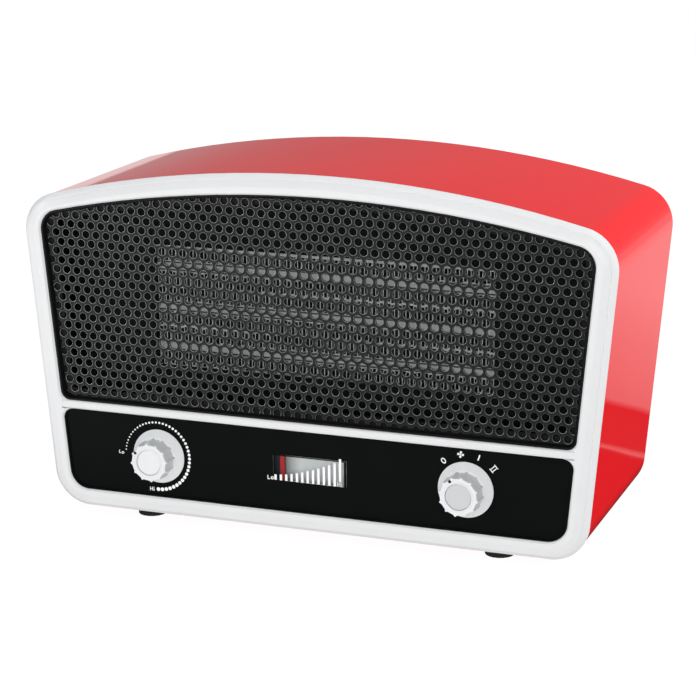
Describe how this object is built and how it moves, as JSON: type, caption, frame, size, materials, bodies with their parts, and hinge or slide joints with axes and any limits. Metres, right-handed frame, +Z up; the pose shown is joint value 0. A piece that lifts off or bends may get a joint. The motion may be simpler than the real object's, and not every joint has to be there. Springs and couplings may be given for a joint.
{
  "type": "fan heater",
  "caption": "Retro radio-style ceramic fan heater: arched glossy shell, white bezel, perforated front, sliding-needle scale window and two turning knobs.",
  "frame": {"origin": "on the floor under the middle of the heater's width and of its depth, knobs and feet included", "axes": "+X to the right seen from the front, +Y to the back (the face looks along -Y), +Z up"},
  "size_m": [0.2754, 0.1186, 0.1661],
  "materials": {
    "pearl_white": "glossy warm-white moulding with a faint pearl",
    "gloss_red": "high-gloss red",
    "grille_black": "satin black powder coat on perforated steel",
    "duct_black": "matt black",
    "panel_black": "polished black",
    "window_clear": "clear moulded window",
    "light_plate": "pale grey, slightly graded",
    "needle_red": "satin red",
    "mechanism": "natural moulded plastic",
    "knob_grey": "satin light grey-white",
    "heat_plastic": "matt heat-resistant moulding",
    "cover_black": "fine-textured black",
    "ceramic": "matt pale ceramic",
    "fin_aluminium": "bare rolled aluminium",
    "steel": "zinc-plated steel",
    "lamination": "stacked steel sheet, lacquered edge",
    "copper": "enamelled copper winding",
    "brass_tab": "tinned brass",
    "white_plastic": "natural white moulding",
    "foot_rubber": "black moulded rubber"
  },
  "bodies": {
    "housing": {"front_bezel": "pearl_white", "trim_bar": "pearl_white", "front_grille": "grille_black", "inner_frame": "duct_black", "heater_baffle": "duct_black", "control_panel": "panel_black", "window_lens": "window_clear", "light_plate": "light_plate", "rack_keeper": "mechanism", "keeper_screws": "steel", "body_shell": "gloss_red", "rubber_feet": "foot_rubber", "bottom_screws": "steel", "rear_cover": "cover_black", "rear_cover_screws": "steel", "cord_inlet": "cover_black", "cord_inlet_nut": "mechanism", "baffle_screws": "steel", "heater_frame": "heat_plastic", "heater_screws": "steel", "ceramic_bars": "ceramic", "electrode_plates": "fin_aluminium", "heat_fins": "fin_aluminium", "thermal_cutout": "ceramic", "fan_housing": "heat_plastic", "bracket_screws": "steel", "motor_bracket": "steel", "front_bearing_bridge": "steel", "rear_bearing_bridge": "steel", "motor_core": "lamination", "motor_coil": "copper", "motor_bolts": "steel", "motor_nuts": "steel", "thermostat_body": "white_plastic", "switch_body": "white_plastic", "thermostat_terminals": "brass_tab", "switch_terminals": "brass_tab", "device_screws": "steel", "terminal_block": "white_plastic"},
    "thermostat_control": {"thermostat_knob": "knob_grey", "thermostat_knob_cap": "knob_grey", "thermostat_spindle": "steel", "thermostat_pinion": "mechanism"},
    "switch_control": {"switch_knob": "knob_grey", "switch_knob_cap": "knob_grey", "switch_spindle": "steel"},
    "needle_slide": {"needle_rack": "mechanism", "needle": "needle_red"},
    "fan_rotor": {"fan_impeller": "duct_black", "motor_shaft": "steel", "motor_rotor": "lamination"}
  },
  "joints": [
    {"name": "thermostat_turn", "type": "hinge", "parent": "housing", "child": "thermostat_control", "pos_m": [-0.0731, -0.0487, 0.0328], "axis": [0, 1, 0], "range_deg": [-15, 247]},
    {"name": "switch_turn", "type": "hinge", "parent": "housing", "child": "switch_control", "pos_m": [0.0731, -0.0487, 0.0328], "axis": [0, 1, 0], "range_deg": [0, 87]},
    {"name": "needle_travel", "type": "slide", "parent": "housing", "child": "needle_slide", "axis": [1, 0, 0], "range_m": [-0.0018, 0.0291]},
    {"name": "fan_spin", "type": "hinge", "parent": "housing", "child": "fan_rotor", "pos_m": [0, 0.02, 0.0986], "axis": [0, 1, 0], "continuous": true}
  ],
  "couplings": [
    {"joint": "needle_travel", "follows": "thermostat_turn", "m_per_rad": 0.00675}
  ]
}
